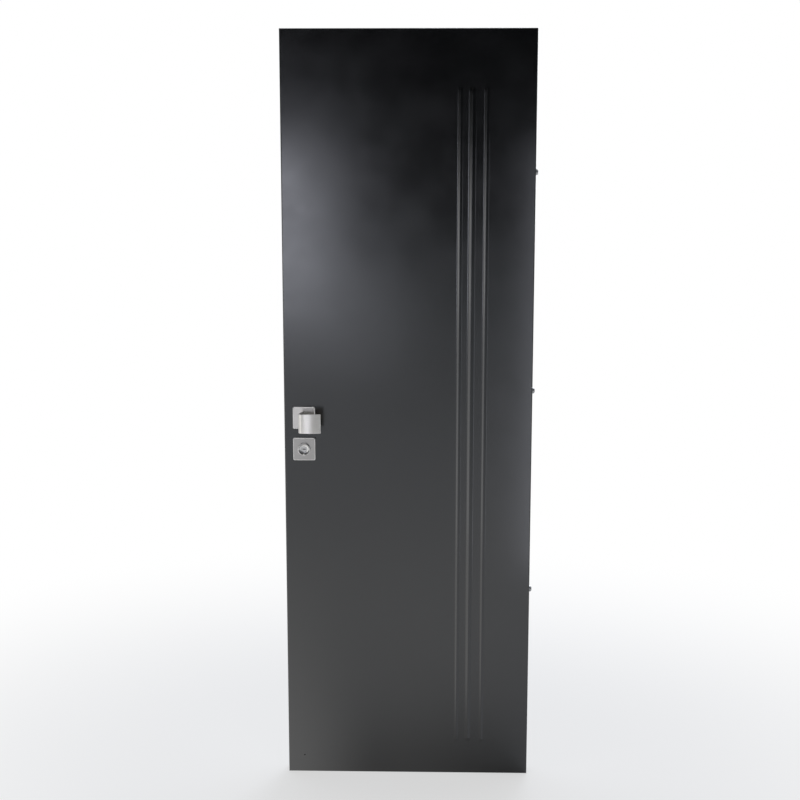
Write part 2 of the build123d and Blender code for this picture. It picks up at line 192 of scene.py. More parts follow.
class DoorFittingSettings(bpy.types.PropertyGroup):
    """Sizes and metals of the fittings."""

    rose_corner: FloatProperty(
        name="Rose Corner", description="Corner radius of the square plates",
        default=3.5 * MM, unit="LENGTH")
    rose_edge: FloatProperty(
        name="Rose Edge", description="Chamfer of the square plates' front edges",
        default=1.8 * MM, unit="LENGTH")
    shell_sheet: FloatProperty(
        name="Shell Sheet", description="Thickness of the pull plate", default=4 * MM, unit="LENGTH")
    shell_foot: FloatProperty(
        name="Shell Foot", description="Offset of the leg's foot from the rose's centre",
        default=-2 * MM, unit="LENGTH")
    shell_leg: FloatProperty(
        name="Leg Top", description="Offset of the leg's top from the rose's centre",
        default=-11.2 * MM, unit="LENGTH")
    shell_leg_rise: FloatProperty(
        name="Leg Rise", description="Height of the leg above the rose", default=37 * MM, unit="LENGTH")
    shell_shoulder: FloatProperty(
        name="Shoulder", description="Offset of the shoulder from the rose's centre",
        default=-4 * MM, unit="LENGTH")
    shell_shoulder_rise: FloatProperty(
        name="Shoulder Rise", description="Height of the shoulder above the rose",
        default=47.9 * MM, unit="LENGTH")
    shell_tip: FloatProperty(
        name="Tip", description="Offset of the free edge from the rose's centre",
        default=49.5 * MM, unit="LENGTH")
    shell_tip_rise: FloatProperty(
        name="Tip Rise", description="Height of the free edge above the rose",
        default=46.5 * MM, unit="LENGTH")
    shell_edge: FloatProperty(
        name="Shell Edge", description="Rounding of the plate's edges", default=1.7 * MM, unit="LENGTH")
    knuckle_radius: FloatProperty(
        name="Knuckle Radius", description="Radius of the hinge knuckles",
        default=8 * MM, unit="LENGTH")
    hinge_plate: FloatProperty(
        name="Hinge Plate", description="Thickness of the hinge plates", default=3 * MM, unit="LENGTH")
    hinge_corner: FloatProperty(
        name="Hinge Corner", description="Corner radius of the hinge plates",
        default=6 * MM, unit="LENGTH")
    hinge_edge: FloatProperty(
        name="Hinge Edge", description="Rounding of the hinges' edges", default=0.8 * MM, unit="LENGTH")
    pin_radius: FloatProperty(
        name="Pin Radius", description="Radius of the hinge pins", default=5 * MM, unit="LENGTH")
    screw_pitch: FloatProperty(
        name="Screw Pitch", description="Distance between a hinge's screws",
        default=30 * MM, unit="LENGTH")
    screw_head: FloatProperty(
        name="Screw Head", description="Radius of the hinge screws' heads",
        default=5.2 * MM, unit="LENGTH")
    screw_tall: FloatProperty(
        name="Screw Height", description="Height of the hinge screws' heads",
        default=2.8 * MM, unit="LENGTH")
    faceplate_screw: FloatProperty(
        name="Faceplate Screw", description="Distance of a screw from the faceplate's end",
        default=10 * MM, unit="LENGTH")
    nose_long: FloatProperty(
        name="Nose Length", description="Length of a dog pin's round nose",
        default=5.5 * MM, unit="LENGTH")
    nose_flat: FloatProperty(
        name="Nose Flat", description="Radius of the flat at a dog pin's end",
        default=3 * MM, unit="LENGTH")
    collar_edge: FloatProperty(
        name="Collar Edge", description="Rounding of the collar's outer rim",
        default=1.5 * MM, unit="LENGTH")
    collar_dish: FloatProperty(
        name="Bowl Radius", description="Radius of the collar's bowl", default=15 * MM, unit="LENGTH")
    collar_deep: FloatProperty(
        name="Bowl Depth", description="Depth of the collar's bowl", default=5 * MM, unit="LENGTH")
    collar_flat: FloatProperty(
        name="Bowl Floor", description="Slope of the bowl at its mouth",
        default=math.radians(10), subtype="ANGLE")
    collar_mouth: FloatProperty(
        name="Mouth Radius", description="Radius of the collar's mouth",
        default=8.5 * MM, unit="LENGTH")
    metal: FloatVectorProperty(
        name="Satin Metal", description="Colour of the satin fittings", subtype="COLOR", min=0, max=1,
        default=(0.95, 0.92, 0.875))
    cylinder_metal: FloatVectorProperty(
        name="Cylinder Metal", description="Colour of the lock cylinder", subtype="COLOR", min=0, max=1,
        default=(0.80, 0.79, 0.77))
    steel: FloatVectorProperty(
        name="Bright Steel", description="Colour of pins, bolts and screws", subtype="COLOR", min=0, max=1,
        default=(0.36, 0.36, 0.36))
    segments: IntProperty(name="Segments", description="Sides of round pieces", default=64, min=12, max=256)


class DoorStageSettings(bpy.types.PropertyGroup):
    """Camera, floor and light of the studio."""

    lens: FloatProperty(name="Lens", description="Focal length", default=65.95, unit="CAMERA")
    camera_distance: FloatProperty(
        name="Camera Distance", description="Camera's distance from the outer face",
        default=3.9, unit="LENGTH")
    camera_height: FloatProperty(
        name="Camera Height", description="Camera's height above the leaf's bottom edge",
        default=1.7773, unit="LENGTH")
    camera_offset: FloatProperty(
        name="Camera Offset", description="Camera's distance to the right of the leaf's middle",
        default=0.0738, unit="LENGTH")
    camera_pitch: FloatProperty(
        name="Camera Pitch", description="How far the camera looks down", subtype="ANGLE",
        default=math.radians(10.247))
    camera_yaw: FloatProperty(
        name="Camera Yaw", description="How far the camera looks to the left", subtype="ANGLE",
        default=math.radians(1.4))
    floor: FloatVectorProperty(
        name="Floor", description="Colour of the floor", subtype="COLOR", min=0, max=1,
        default=(0.9, 0.9, 0.9))


def new_piece(name, body, bm, material, replaced=()):
    """Make an object from a finished bmesh, in one material, riding on a body of the frame."""
    mesh = bpy.data.meshes.new(name)
    bm.to_mesh(mesh)
    bm.free()
    for polygon in mesh.polygons:
        polygon.use_smooth = True
    piece = bpy.data.objects.new(name, mesh)
    bpy.context.scene.collection.objects.link(piece)
    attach(piece, body)
    if replaced:
        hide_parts(*replaced)
    dress(piece, material)
    return piece


def plate_piece(name, body, bm, material, replaced):
    """Make a piece with broad flats that stay flat beside their chamfers."""
    sharpen(bm, FLAT_CREASE)
    piece = new_piece(name, body, bm, material, replaced)
    piece.modifiers.new("Flats", "WEIGHTED_NORMAL").keep_sharp = True


def dress(piece, material):
    """Give a piece or a carried-over node its one material."""
    piece.data.materials.clear()
    piece.data.materials.append(finish(material))


def sharpen(bm, angle):
    """Mark the edges that turn by more than an angle as sharp."""
    for edge in bm.edges:
        if len(edge.link_faces) == 2 and edge.calc_face_angle() > math.radians(angle):
            edge.smooth = False


class NodeBench:
    """Short words for building the nodes of a material or a world."""

    def __init__(self, owner):
        owner.use_nodes = True
        self.owner = owner
        self.tree = owner.node_tree
        self.shader = self.tree.nodes.get("Principled BSDF")
        self.coords = self.add("ShaderNodeTexCoord")

    def add(self, kind, **values):
        """A new node with its settings."""
        node = self.tree.nodes.new(kind)
        for key, value in values.items():
            setattr(node, key, value)
        return node

    def link(self, source, target):
        """A link from a socket, or a plain value set on the target."""
        if isinstance(source, bpy.types.NodeSocket):
            self.tree.links.new(source, target)
        else:
            target.default_value = source

    def noise(self, scale, detail=3.0, rough=0.5, stretch=(1, 1, 1)):
        """Noise on object coordinates, stretched along an axis where asked."""
        mapping = self.add("ShaderNodeMapping")
        mapping.inputs["Scale"].default_value = stretch
        self.link(self.coords.outputs["Object"], mapping.inputs["Vector"])
        node = self.add("ShaderNodeTexNoise")
        node.inputs["Scale"].default_value = scale
        node.inputs["Detail"].default_value = detail
        node.inputs["Roughness"].default_value = rough
        self.link(mapping.outputs["Vector"], node.inputs["Vector"])
        return node.outputs["Fac"]

    def ranged(self, source, low, high, from_low=0.3, from_high=0.7, curve="LINEAR"):
        """A value spread between two limits."""
        node = self.add("ShaderNodeMapRange", interpolation_type=curve)
        limits = {"From Min": from_low, "From Max": from_high, "To Min": low, "To Max": high}
        for socket, value in limits.items():
            node.inputs[socket].default_value = value
        self.link(source, node.inputs["Value"])
        return node.outputs["Result"]

    def eased(self, source, from_low, from_high, low, high):
        """A value that goes softly from one limit to another."""
        return self.ranged(source, low, high, from_low, from_high, "SMOOTHSTEP")

    def blend(self, factor, first, second):
        """A colour between two, the first of them plain or from a socket."""
        node = self.add("ShaderNodeMix", data_type="RGBA")
        self.link(factor, node.inputs["Factor"])
        self.link(first if isinstance(first, bpy.types.NodeSocket) else (*first, 1), node.inputs["A"])
        self.link((*second, 1), node.inputs["B"])
        return node.outputs["Result"]

    def math(self, operation, first, second=0.0):
        """A sum of values or sockets."""
        node = self.add("ShaderNodeMath", operation=operation)
        self.link(first, node.inputs[0])
        self.link(second, node.inputs[1])
        return node.outputs["Value"]

    def vector(self, operation, first, second):
        """A vector sum between a socket and a constant."""
        node = self.add("ShaderNodeVectorMath", operation=operation)
        self.link(first, node.inputs[0])
        self.link(second, node.inputs[1])
        return node.outputs["Vector"]

    def length(self, source):
        """The length of a vector."""
        node = self.add("ShaderNodeVectorMath", operation="LENGTH")
        self.link(source, node.inputs[0])
        return node.outputs["Value"]

    def split(self, source):
        """The three parts of a vector, by their letters."""
        node = self.add("ShaderNodeSeparateXYZ")
        self.link(source, node.inputs["Vector"])
        return node.outputs

    def painted_highlight_mask(self, rim):
        """One where a surface turns away from the directions in which a piece has its broad faces, where a
        painted edge highlight goes.
        """
        tilt = self.vector("MULTIPLY", self.coords.outputs["Normal"], rim)
        return self.ranged(self.length(tilt), 0, 1, 0.3, 0.6)

    def bump(self, height, strength, distance):
        """A bumped normal, on the shader."""
        node = self.add("ShaderNodeBump")
        node.inputs["Strength"].default_value = strength
        node.inputs["Distance"].default_value = distance
        self.link(height, node.inputs["Height"])
        self.link(node.outputs["Normal"], self.shader.inputs["Normal"])

    def surface(self, factor, first, second):
        """The output's surface, between two shader nodes."""
        mix = self.add("ShaderNodeMixShader")
        self.link(factor, mix.inputs["Fac"])
        self.link(first.outputs[0], mix.inputs[1])
        self.link(second.outputs[0], mix.inputs[2])
        self.link(mix.outputs["Shader"], self.tree.get_output_node("ALL").inputs["Surface"])


def scaled(colour, factor):
    """A colour made lighter or darker."""
    return tuple(channel * factor for channel in colour)


def satin_paint(name, colour, roughness):
    """Powder coat on sheet steel: orange peel, faint cloudiness and a few duller patches."""
    bench = NodeBench(bpy.data.materials.new(name))
    sockets = bench.shader.inputs
    cloud = bench.ranged(bench.noise(5.0, detail=4.0), 0, 1)
    bench.link(bench.blend(cloud, scaled(colour, 0.9), scaled(colour, 1.12)), sockets["Base Color"])
    patch = bench.noise(9.0, detail=5.0, rough=0.6)
    bench.link(bench.ranged(patch, roughness - 0.025, roughness + 0.03), sockets["Roughness"])
    bench.bump(bench.noise(700.0, detail=1.0), 0.05, 0.15 * MM)
    sockets["Specular IOR Level"].default_value = 1.0
    sockets["IOR"].default_value = 1.55
    return bench.owner


def satin_metal(name, colour, roughness, spread, grain, rim):
    """Brushed metal: streaks along the grain, a shine drawn out across it, and edges lightened in colour as
    a painted highlight.
    """
    bench = NodeBench(bpy.data.materials.new(name))
    sockets = bench.shader.inputs
    sockets["Metallic"].default_value = 1.0
    sockets["Anisotropic"].default_value = spread
    across = bench.add("ShaderNodeCombineXYZ")
    across.inputs["Z"].default_value = 1.0
    bench.link(across.outputs["Vector"], sockets["Tangent"])
    brushed = bench.noise(1.0, detail=4.0, rough=0.65, stretch=grain)
    face = bench.blend(bench.ranged(brushed, 0, 1), scaled(colour, 0.93), scaled(colour, 1.05))
    # The edges get a lighter colour as a painted highlight
    bench.link(bench.blend(bench.painted_highlight_mask(rim), face, PAINTED_EDGE_HIGHLIGHT), sockets["Base Color"])
    bench.link(bench.ranged(brushed, roughness - 0.04, roughness + 0.06), sockets["Roughness"])
    bench.bump(brushed, 0.06, 0.05 * MM)
    return bench.owner


def turned_metal(name, colour, roughness, spread):
    """Metal turned on a lathe: fine rings about the cylinder's axis, and a shine drawn out from it."""
    bench = NodeBench(bpy.data.materials.new(name))
    sockets = bench.shader.inputs
    sockets["Metallic"].default_value = 1.0
    sockets["Anisotropic"].default_value = spread
    offset = bench.vector("SUBTRACT", bench.coords.outputs["Object"], COLLAR_CENTRE)
    radial = bench.vector("MULTIPLY", offset, (1, 0, 1))
    outward = bench.add("ShaderNodeVectorTransform", convert_from="OBJECT", convert_to="WORLD")
    bench.link(radial, outward.inputs["Vector"])
    bench.link(outward.outputs["Vector"], sockets["Tangent"])
    grooves = bench.add("ShaderNodeTexNoise", noise_dimensions="1D")
    grooves.inputs["Scale"].default_value = 2500
    bench.link(bench.length(radial), grooves.inputs["W"])
    rings = grooves.outputs["Fac"]
    face = bench.blend(bench.ranged(rings, 0, 1), scaled(colour, 0.85), scaled(colour, 1.1))
    bench.link(face, sockets["Base Color"])
    bench.link(bench.ranged(rings, roughness - 0.05, roughness + 0.05), sockets["Roughness"])
    bench.bump(rings, 0.08, 0.05 * MM)
    return bench.owner


def finish(name):
    """One of the door's materials, made once: maker, colour, roughness, spread, grain and rim."""
    leaf = bpy.context.scene.door_leaf
    fitting = bpy.context.scene.door_fitting
    recipes = {
        "charcoal_satin_coat": (satin_paint, leaf.paint, leaf.gloss),
        "dark_channel_coat": (satin_paint, leaf.channel_paint, leaf.gloss + 0.12),
        "hinge_coat": (satin_paint, scaled(leaf.channel_paint, 2.2), leaf.gloss + 0.16),
        "satin_plate": (satin_metal, scaled(fitting.metal, 0.77), 0.34, 0.85, LEVEL_GRAIN, PLATE_RIM),
        "satin_guard": (satin_metal, scaled(fitting.metal, 0.51), 0.34, 0.85, LEVEL_GRAIN, PLATE_RIM),
        "satin_shell": (satin_metal, fitting.metal, 0.32, 0.9, LEVEL_GRAIN, SHELL_RIM),
        "zinc_steel": (satin_metal, fitting.steel, 0.34, 0.0, EVEN_GRAIN, NO_RIM),
        "pin_steel": (satin_metal, scaled(fitting.steel, 1.4), 0.42, 0.0, EVEN_GRAIN, NO_RIM),
        "turned_nickel": (turned_metal, fitting.cylinder_metal, 0.3, 0.75),
        "turned_plug": (turned_metal, scaled(fitting.cylinder_metal, 0.8), 0.34, 0.4),
    }
    maker, *values = recipes[name]
    return bpy.data.materials.get(name) or maker(name, *values)


def rib_profile(distance, reach, rise, crest, foot):
    """Height of a rib at a distance from its spine: tight crest, straight flank and a hollow foot."""
    if distance >= reach:
        return 0.0
    radii = crest + foot
    span = math.hypot(reach, radii - rise)
    slope = math.asin(radii / span) - math.atan2(radii - rise, reach)
    if distance > reach - foot * math.sin(slope):
        return foot - math.sqrt(max(foot ** 2 - (reach - distance) ** 2, 0.0))
    if distance < crest * math.sin(slope):
        return rise - crest + math.sqrt(crest ** 2 - distance ** 2)
    shoulder = rise - crest * (1 - math.cos(slope))
    return shoulder - (distance - crest * math.sin(slope)) * math.tan(slope)


def ribs_of(leaf):
    """Centre, width and rise of each rib."""
    middle = HINGE_EDGE - leaf.rib_from_hinge
    side = (leaf.rib_width_side, leaf.rib_rise_side)
    return (
        (middle - leaf.rib_pitch, *side),
        (middle - leaf.rib_shift, leaf.rib_width_middle, leaf.rib_rise_middle),
        (middle + leaf.rib_pitch, *side),
    )


def face_height(leaf, x, z):
    """How far the pressed face stands out at one place."""
    height = 0.0
    for centre, width, rise in ribs_of(leaf):
        low = LEAF_BOTTOM + leaf.rib_from_bottom + width / 2
        high = LEAF_TOP - leaf.rib_from_top - width / 2
        along = min(max(z, low), high)
        foot = leaf.rib_foot * width / leaf.rib_width_middle
        reach = width / 2 + RIB_TOE
        distance = math.hypot(x - centre, z - along)
        height = max(height, rib_profile(distance, reach, rise, leaf.rib_crest, foot))
    across = (x - LOCK_EDGE) / (HINGE_EDGE - LOCK_EDGE)
    up = (z - LEAF_BOTTOM) / (LEAF_TOP - LEAF_BOTTOM)
    edge_fade = math.sin(math.pi * across) * math.sin(math.pi * up)
    long_wave = math.sin(9.0 * up + 2.0 * across)
    short_wave = 0.6 * math.sin(17.0 * up - 6.0 * across + 1.3)
    return height + leaf.wave * edge_fade * (long_wave + short_wave)


def stations(low, high, step, fine_spots, fine_step):
    """Places along one side of the face: wide steps, with fine ones round each spot."""
    support = 0.6 * MM
    places = {low, low + support, high - support, high}
    count = round((high - low) / step)
    for index in range(1, count):
        places.add(low + (high - low) * index / count)
    for centre, reach in fine_spots:
        clear = reach + fine_step
        places = {place for place in places if abs(place - centre) > clear or place in (low, high)}
        fine_count = round(2 * reach / fine_step)
        for index in range(fine_count + 1):
            places.add(centre - reach + 2 * reach * index / fine_count)
    return sorted(places)


def pressed_skin(side):
    """One skin: the ribbed face, its rounded folds and its returns, as an open sheet of one thickness."""
    leaf = bpy.context.scene.door_leaf
    drain = (LOCK_EDGE + leaf.drain_from_lock, LEAF_BOTTOM + leaf.drain_height)
    fine_share = 0.62
    rib_spots = [(centre, width * fine_share) for centre, width, rise in ribs_of(leaf)]
    end_reach = leaf.rib_width_middle
    end_spots = [
        (LEAF_BOTTOM + leaf.rib_from_bottom + end_reach / 2, end_reach),
        (LEAF_TOP - leaf.rib_from_top - end_reach / 2, end_reach),
    ]
    bend = leaf.bend
    column_step = 20 * MM
    row_step = 25 * MM
    fine_step = 0.8 * MM
    columns = stations(LOCK_EDGE + bend, HINGE_EDGE - bend, column_step, rib_spots, fine_step)
    rows = stations(LEAF_BOTTOM + bend, LEAF_TOP - bend, row_step, end_spots, fine_step)
    if side == OUTER:
        columns = stations_with_hole(columns, drain[0], leaf.drain_radius)
        rows = stations_with_hole(rows, drain[1], leaf.drain_radius)
    bm = bmesh.new()
    bmesh.ops.create_grid(bm, x_segments=len(columns) - 1, y_segments=len(rows) - 1, size=0.5)
    for vert in bm.verts:
        column = columns[round((vert.co.x + 0.5) * (len(columns) - 1))]
        row = rows[round((vert.co.y + 0.5) * (len(rows) - 1))]
        vert.co = (column, FACE_OF[side] + side * face_height(leaf, column, row), row)
    if side == OUTER:
        cut_drain(bm, drain, leaf.drain_radius)
    fold_edges(bm, side, columns, rows, leaf)
    bm.normal_update()
    middle_face = min(bm.faces, key=lambda face: (face.calc_center_median() - LEAF_CENTRE).length)
    if middle_face.normal.y * side < 0:
        bmesh.ops.reverse_faces(bm, faces=bm.faces)
    word = SIDE_WORD[side]
    replaced = [f"{word}_skin"]
    piece = new_piece(f"{word}_pressed_skin", "leaf", bm, "charcoal_satin_coat", replaced)
    wall = piece.modifiers.new("Sheet", "SOLIDIFY")
    wall.thickness = leaf.sheet
    wall.offset = -1


def stations_with_hole(places, centre, radius):
    """Places with three close ones where a small round hole goes."""
    kept = [place for place in places if abs(place - centre) > 3 * radius]
    return sorted([*kept, centre - radius, centre, centre + radius])


def cut_drain(bm, drain, radius):
    """Open the small drain hole: round its rim and take out the middle."""
    centre = Vector((drain[0], 0, drain[1]))
    middle = None
    for vert in bm.verts:
        flat = Vector((vert.co.x, 0, vert.co.z)) - centre
        if flat.length < 0.1 * radius:
            middle = vert
        elif flat.length < 1.5 * radius:
            place = centre + flat.normalized() * radius
            vert.co = (place.x, vert.co.y, place.z)
    rim = {edge for face in middle.link_faces for edge in face.edges if middle not in edge.verts}
    bmesh.ops.delete(bm, geom=[middle], context="VERTS")
    for edge in rim:
        edge.smooth = False


def fold_edges(bm, side, columns, rows, leaf):
    """Fold the four edges of the face back round the bend and down to the depth of the return."""
    bend_steps = 6
    turns = [math.pi / 2 * step / bend_steps for step in range(1, bend_steps + 1)]
    rings = [(leaf.bend * math.sin(turn), leaf.bend * (1 - math.cos(turn))) for turn in turns]
    rings.append((leaf.bend, leaf.fold))
    edges = [edge for edge in bm.edges if edge.is_boundary and on_border(edge, columns, rows)]
    outward, inward = 0.0, 0.0
    for ring_out, ring_in in rings:
        grown = bmesh.ops.extrude_edge_only(bm, edges=edges)["geom"]
        edges = [item for item in grown if isinstance(item, bmesh.types.BMEdge)]
        for vert in (item for item in grown if isinstance(item, bmesh.types.BMVert)):
            step = Vector((0, -side * (ring_in - inward), 0))
            step.x = border_sign(vert.co.x, columns) * (ring_out - outward)
            step.z = border_sign(vert.co.z, rows) * (ring_out - outward)
            vert.co += step
        edges = [edge for edge in edges if edge.is_boundary]
        outward, inward = ring_out, ring_in


def border_sign(value, places):
    """Minus one on or past the low border, one on or past the high border, otherwise zero."""
    slack = 0.01 * MM
    return (value > places[-1] - slack) - (value < places[0] + slack)


def on_border(edge, columns, rows):
    """True for an edge along the outline of the face."""
    middle = (edge.verts[0].co + edge.verts[1].co) / 2
    return bool(border_sign(middle.x, columns) or border_sign(middle.z, rows))


def lathe(points, centre, axis, segments):
    """Turn a profile of (radius, distance along the axis) about an axis and close it into a skin."""
    bm = bmesh.new()
    axis = Vector(axis)
    across = axis.orthogonal().normalized()
    verts = [bm.verts.new(Vector(centre) + across * radius + axis * along) for radius, along in points]
    edges = [bm.edges.new(pair) for pair in zip(verts, verts[1:])]
    bmesh.ops.spin(bm, geom=verts + edges, cent=centre, axis=axis, angle=2 * math.pi, steps=segments,
                   use_merge=True)
    bmesh.ops.remove_doubles(bm, verts=bm.verts, dist=0.001 * MM)
    bmesh.ops.recalc_face_normals(bm, faces=bm.faces)
    return bm


def slab(low, high, corner, front_axis, front_sign, edge):
    """A square plate with rounded corners and a chamfered front edge."""
    bm = bmesh.new()
    bmesh.ops.create_cube(bm, size=1)
    size = Vector(high) - Vector(low)
    bmesh.ops.scale(bm, vec=size, verts=bm.verts)
    bmesh.ops.translate(bm, vec=(Vector(low) + Vector(high)) / 2, verts=bm.verts)
    depth_edges = [e for e in bm.edges if abs((e.verts[0].co - e.verts[1].co)[front_axis]) > 1e-6]
    bmesh.ops.bevel(bm, geom=depth_edges, offset=corner, offset_type="OFFSET", affect="EDGES", segments=6,
                    profile=0.5, material=-1)
    front = max(v.co[front_axis] * front_sign for v in bm.verts)
    rim = [e for e in bm.edges if all(abs(v.co[front_axis] * front_sign - front) < 1e-7 for v in e.verts)]
    bmesh.ops.bevel(bm, geom=rim, offset=edge, offset_type="OFFSET", affect="EDGES", segments=1,
                    profile=0.5, material=-1)
    bmesh.ops.recalc_face_normals(bm, faces=bm.faces)
    return bm


def pierce(bm, axis, centres, radius, segments):
    """Open round holes through the two broad faces of a plate and line them."""
    ends = sorted(bm.faces, key=lambda face: face.calc_area())[-2:]
    levels = [face.calc_center_median()[axis] for face in ends]
    rims = [list(face.edges) for face in ends]
    bmesh.ops.delete(bm, geom=ends, context="FACES_ONLY")
    lined = []
    for centre in centres:
        pair = []
        for level in levels:
            place = Vector(centre)
            place[axis] = level
            pair.append(ring(bm, place, axis, radius, segments))
        lined.append(pair)
    normal = Vector()
    normal[axis] = 1
    for index, rim in enumerate(rims):
        holes = [edge for pair in lined for edge in pair[index]]
        bmesh.ops.triangle_fill(bm, use_beauty=True, edges=rim + holes, normal=normal)
    for first, second in lined:
        bmesh.ops.bridge_loops(bm, edges=first + second)
    bmesh.ops.recalc_face_normals(bm, faces=bm.faces)


def ring(bm, place, axis, radius, segments, filled=False):
    """A circle about one of the main axes, as its edges."""
    quarter = math.pi / 2
    turn = (Matrix.Rotation(quarter, 4, "Y"), Matrix.Rotation(quarter, 4, "X"), Matrix())[axis]
    made = bmesh.ops.create_circle(bm, cap_ends=filled, segments=segments, radius=radius,
                                   matrix=Matrix.Translation(place) @ turn)
    return list({edge for vert in made["verts"] for edge in vert.link_edges})


def joined(first, second):
    """Bring a second bmesh into a first one."""
    carrier = bpy.data.meshes.new("carrier")
    second.to_mesh(carrier)
    second.free()
    first.from_mesh(carrier)
    bpy.data.meshes.remove(carrier)
    return first


def rounded_rod(radius, low, high, edge):
    """Outline of a rod along its axis, from the low end to the high end, with rounded edges."""
    foot = (radius - edge, low)
    head = (radius, high - edge)
    return [foot, *arc_points(foot, (1, 0), (radius, low + edge), 4), head,
            *arc_points(head, (0, 1), (radius - edge, high), 4)]


def socket_screws(places, way, radius, tall, shank, length):
    """Round-headed screws with a six-sided socket, standing on a face along one direction."""
    bm = bmesh.new()
    skirt = 0.35 * tall
    socket = 0.45 * radius
    socket_floor = 0.4 * tall
    points = [(0, -length), (shank, -length), (shank, 0), (radius, 0), (radius, skirt)]
    points += arc_points(points[-1], (0, 1), (radius - (tall - skirt), tall), 6)
    turn = Vector(way).to_track_quat("Z", "Y").to_matrix().to_4x4()
    for place in places:
        screw = lathe(points, (0, 0, 0), (0, 0, 1), 32)
        crown = [edge for edge in screw.edges if edge.is_boundary]
        brim = ring(screw, (0, 0, tall), 2, socket, 6)
        bmesh.ops.triangle_fill(screw, use_beauty=True, edges=crown + brim, normal=(0, 0, 1))
        floor = ring(screw, (0, 0, socket_floor), 2, socket, 6, filled=True)
        bmesh.ops.bridge_loops(screw, edges=brim + floor)
        bmesh.ops.recalc_face_normals(screw, faces=screw.faces)
        sharpen(screw, SCREW_CREASE)
        bmesh.ops.transform(screw, matrix=Matrix.Translation(place) @ turn, verts=screw.verts)
        joined(bm, screw)
    return bm


def hinge_leaf_half(place):
    """The bored half of a lift-off hinge, on the inner face of the leaf."""
    fitting = bpy.context.scene.door_fitting
    node = f"{place}_hinge_leaf_half"
    low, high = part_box(node)
    radius = fitting.knuckle_radius
    axis_x = high.x - radius
    bore = fitting.pin_radius + PIN_CLEARANCE
    bore_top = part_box(f"{place}_hinge_frame_half")[1].z + PIN_GAP
    outline = rounded_rod(radius, low.z, high.z, fitting.hinge_edge)
    points = [(0, bore_top), (bore, bore_top), (bore, low.z), *outline, (0, high.z)]
    bm = lathe(points, (axis_x, high.y - radius, 0), (0, 0, 1), fitting.segments)
    plate_end = Vector((axis_x, low.y + fitting.hinge_plate, high.z))
    joined(bm, slab(low, plate_end, fitting.hinge_corner, 1, 1, fitting.hinge_edge))
    plate_piece(f"{place}_leaf_hinge", "leaf", bm, "hinge_coat", [node])


def hinge_frame_half(place):
    """The half of a lift-off hinge with the pin, and the screws that hold it to the frame."""
    fitting = bpy.context.scene.door_fitting
    node = f"{place}_hinge_frame_half"
    low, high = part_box(node)
    leaf_low, leaf_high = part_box(f"{place}_hinge_leaf_half")
    radius = fitting.knuckle_radius
    edge = fitting.hinge_edge
    pin = fitting.pin_radius
    axis_y = leaf_high.y - radius
    top = leaf_low.z - KNUCKLE_GAP
    outline = rounded_rod(radius, low.z, top, edge)
    points = [(0, low.z), *outline, (pin, top), (pin, high.z - edge), (pin - edge, high.z), (0, high.z)]
    bm = lathe(points, (leaf_high.x - radius, axis_y, 0), (0, 0, 1), fitting.segments)
    face = high.x - fitting.hinge_plate
    middle = (low.z + top) / 2
    holes = [Vector((face, MOUNT_Y, middle + sign * fitting.screw_pitch / 2)) for sign in (1, -1)]
    plate = slab((face, axis_y, low.z), (high.x, high.y, top), fitting.hinge_corner, 0, -1, edge)
    pierce(plate, 0, holes, SCREW_HOLE, 32)
    joined(bm, plate)
    plate_piece(f"{place}_frame_hinge", "frame_hinges", bm, "hinge_coat", [node])
    shank = SCREW_HOLE - SCREW_CLEARANCE
    length = fitting.hinge_plate
    bm = socket_screws(holes, (-1, 0, 0), fitting.screw_head, fitting.screw_tall, shank, length)
    new_piece(f"{place}_hinge_screws", "frame_hinges", bm, "zinc_steel")


def arc_points(start, way, end, steps):
    """Points along the arc that leaves start along way and ends at end, without the first."""
    start = Vector(start)
    centre, turn = tangent_arc(start, Vector(way), Vector(end))
    return [centre + turned(start - centre, turn * step / steps) for step in range(1, steps + 1)]


def tangent_arc(start, way, end):
    """Centre and signed turn of the arc that leaves start along way and passes through end."""
    chord = end - start
    normal = Vector((-way.y, way.x))
    radius = chord.length_squared / (2 * chord.dot(normal))
    centre = start + normal * radius
    before = start - centre
    after = end - centre
    turn = math.atan2(before.x * after.y - before.y * after.x, before.dot(after))
    return centre, turn


def turned(way, turn):
    """A direction in plan, turned by an angle."""
    cos = math.cos(turn)
    sin = math.sin(turn)
    return Vector((way.x * cos - way.y * sin, way.x * sin + way.y * cos))


